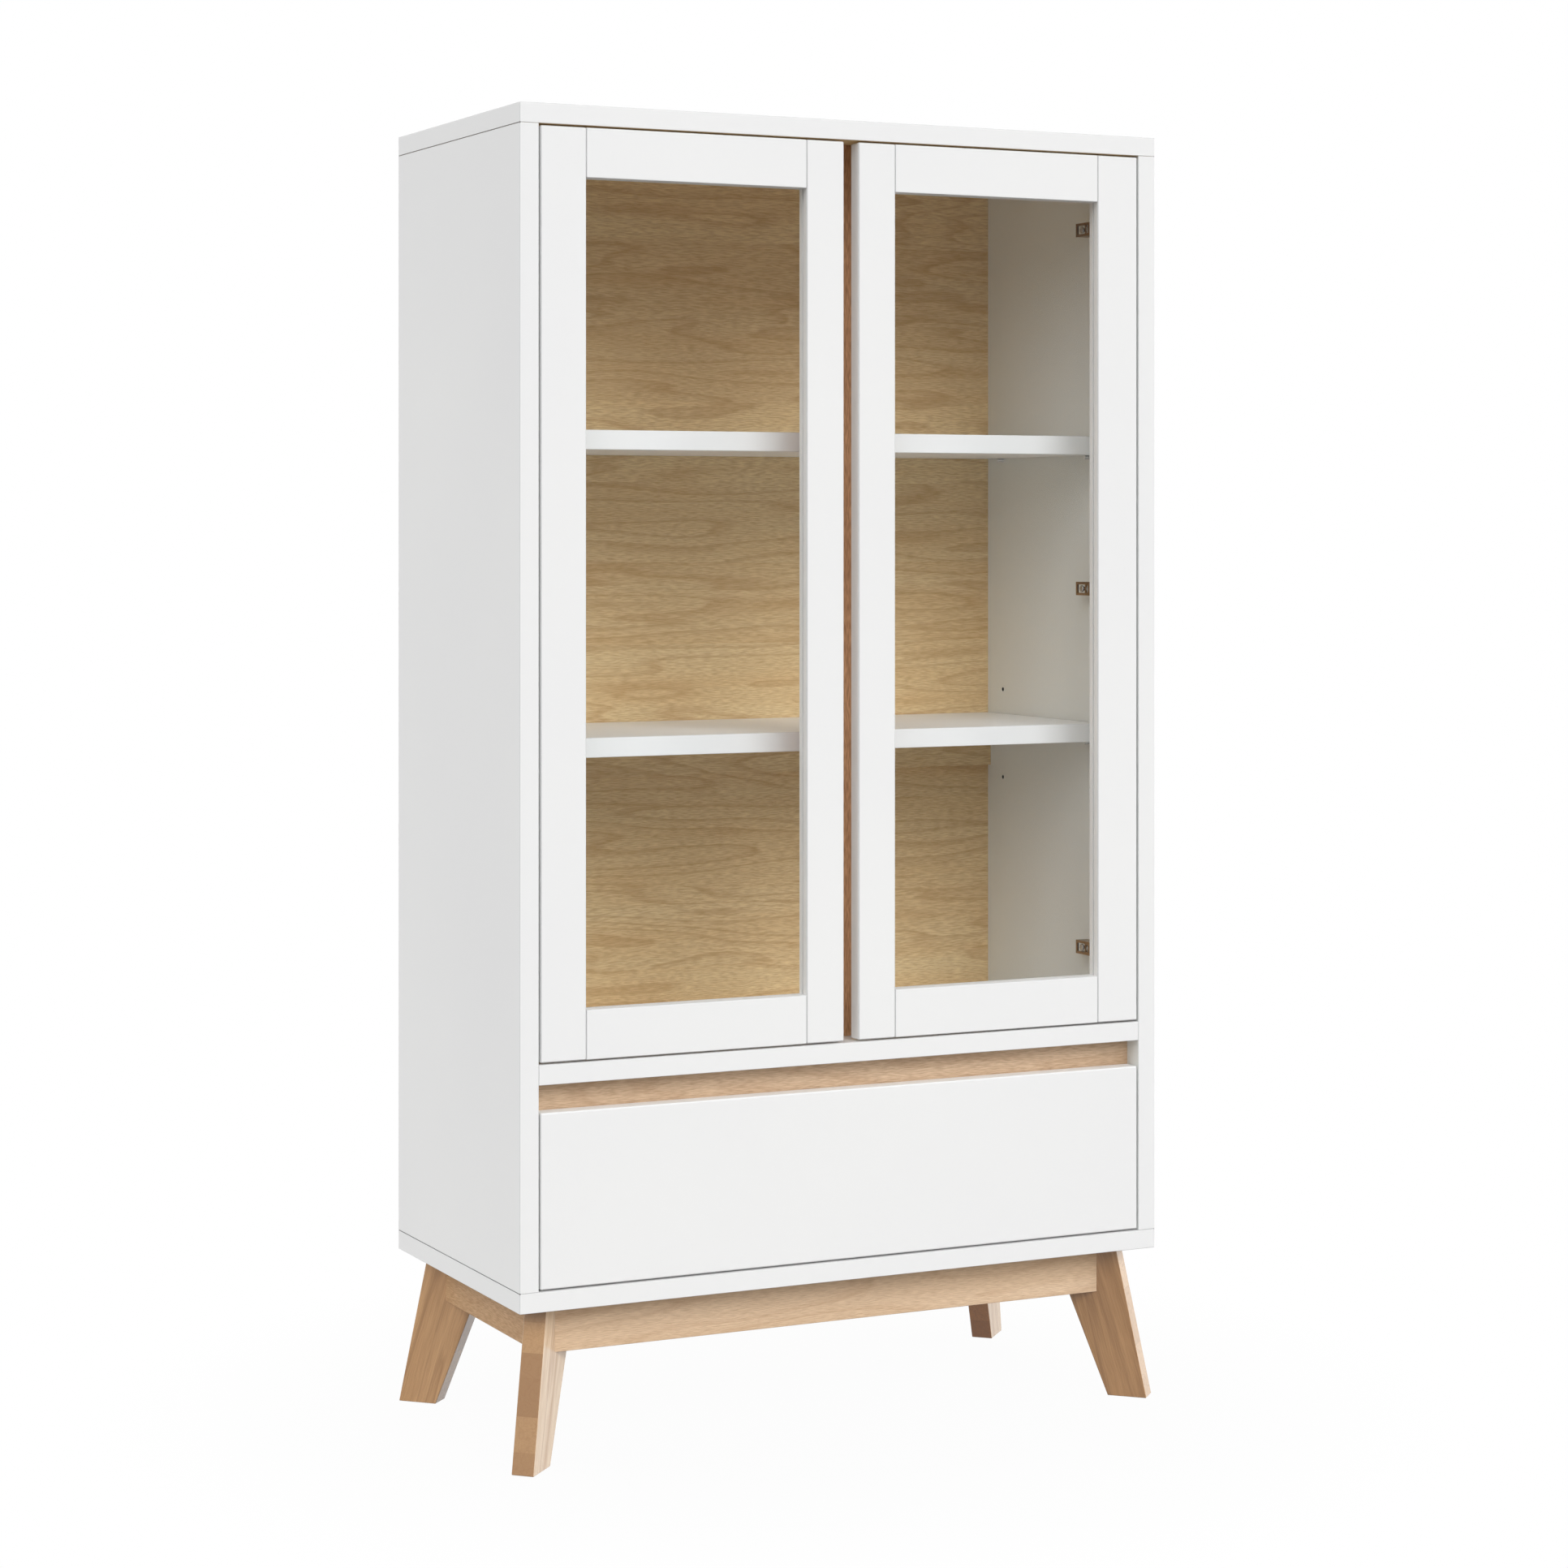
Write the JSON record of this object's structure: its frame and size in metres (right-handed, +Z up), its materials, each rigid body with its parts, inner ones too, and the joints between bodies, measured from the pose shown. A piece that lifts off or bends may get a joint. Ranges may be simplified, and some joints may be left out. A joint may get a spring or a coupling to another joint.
{
  "type": "glazed display cabinet",
  "caption": "Tall white cabinet on splayed wood legs, with inset glazed doors on concealed hinges over a full-width drawer pulled by its top edge.",
  "frame": {"origin": "on the floor under the centre of the carcass", "axes": "+Z up, -Y out of the front, +X to the right seen from the front"},
  "size_m": [0.8076, 0.3916, 1.478],
  "materials": {
    "white_lacquer": "white satin lacquer on board",
    "wood_laminate": "brown wood-look laminate with straight grain",
    "solid_wood": "clear-lacquered finger-jointed hardwood",
    "drawer_board": "pale foil on board",
    "pane_glass": "clear flat glass",
    "nickel_steel": "nickel-plated pressed steel",
    "zinc_steel": "zinc-plated steel"
  },
  "bodies": {
    "carcass": {"apron_dowels": "solid_wood", "back_apron": "solid_wood", "back_batten": "wood_laminate", "back_panel": "wood_laminate", "bottom_panel": "white_lacquer", "cam_bolts": "zinc_steel", "cam_locks": "zinc_steel", "carcass_dowels": "solid_wood", "centre_post": "wood_laminate", "finger_rail": "wood_laminate", "front_apron": "solid_wood", "hinge_arm_pins": "zinc_steel", "hinge_arm_screws": "zinc_steel", "hinge_arms": "nickel_steel", "hinge_plate_screws": "zinc_steel", "hinge_plates": "nickel_steel", "left_apron": "solid_wood", "left_side_panel": "white_lacquer", "leg_back_left": "solid_wood", "leg_back_right": "solid_wood", "leg_front_left": "solid_wood", "leg_front_right": "solid_wood", "leg_screws": "zinc_steel", "lower_shelf": "white_lacquer", "mid_panel": "white_lacquer", "right_apron": "solid_wood", "right_side_panel": "white_lacquer", "shelf_pins": "zinc_steel", "slide_outer_members": "zinc_steel", "slide_screws": "zinc_steel", "top_panel": "white_lacquer", "upper_shelf": "white_lacquer"},
    "left_hinge_links": {"left_hinge_links": "nickel_steel"},
    "left_door": {"left_hinge_cups": "nickel_steel", "left_cup_screws": "zinc_steel", "left_cup_pins": "zinc_steel", "left_hinge_stile": "white_lacquer", "left_free_stile": "white_lacquer", "left_top_rail": "white_lacquer", "left_bottom_rail": "white_lacquer", "left_glass": "pane_glass", "left_glass_beads": "white_lacquer"},
    "right_hinge_links": {"right_hinge_links": "nickel_steel"},
    "right_door": {"right_hinge_cups": "nickel_steel", "right_cup_screws": "zinc_steel", "right_cup_pins": "zinc_steel", "right_hinge_stile": "white_lacquer", "right_free_stile": "white_lacquer", "right_top_rail": "white_lacquer", "right_bottom_rail": "white_lacquer", "right_glass": "pane_glass", "right_glass_beads": "white_lacquer"},
    "slide_middles": {"slide_middle_members": "zinc_steel"},
    "drawer": {"drawer_back": "drawer_board", "drawer_bottom": "drawer_board", "drawer_dowels": "solid_wood", "drawer_front": "white_lacquer", "drawer_left_side": "drawer_board", "drawer_right_side": "drawer_board", "slide_inner_members": "zinc_steel"}
  },
  "joints": [
    {"name": "left_hinge_link_pivot", "type": "hinge", "parent": "carcass", "child": "left_hinge_links", "pos_m": [-0.3507, -0.1628, 0.94875], "axis": [0, 0, -1], "range_deg": [-28.6, 0]},
    {"name": "left_door_pivot", "type": "hinge", "parent": "left_hinge_links", "child": "left_door", "pos_m": [-0.3639, -0.1804, 0.94875], "axis": [0, 0, -1], "range_deg": [0, 123.5]},
    {"name": "right_hinge_link_pivot", "type": "hinge", "parent": "carcass", "child": "right_hinge_links", "pos_m": [0.3507, -0.1628, 0.94875], "axis": [0, 0, 1], "range_deg": [-28.6, 0]},
    {"name": "right_door_pivot", "type": "hinge", "parent": "right_hinge_links", "child": "right_door", "pos_m": [0.3639, -0.1804, 0.94875], "axis": [0, 0, 1], "range_deg": [0, 123.5]},
    {"name": "drawer_slide", "type": "slide", "parent": "carcass", "child": "drawer", "axis": [0, -1, 0], "range_m": [0, 0.26]},
    {"name": "slide_middle_travel", "type": "slide", "parent": "carcass", "child": "slide_middles", "axis": [0, -1, 0], "range_m": [0, 0.13]}
  ],
  "couplings": [
    {"joint": "left_hinge_link_pivot", "follows": "left_door_pivot", "ratio": -0.23077},
    {"joint": "right_hinge_link_pivot", "follows": "right_door_pivot", "ratio": -0.23077},
    {"joint": "slide_middle_travel", "follows": "drawer_slide", "ratio": 0.5}
  ]
}
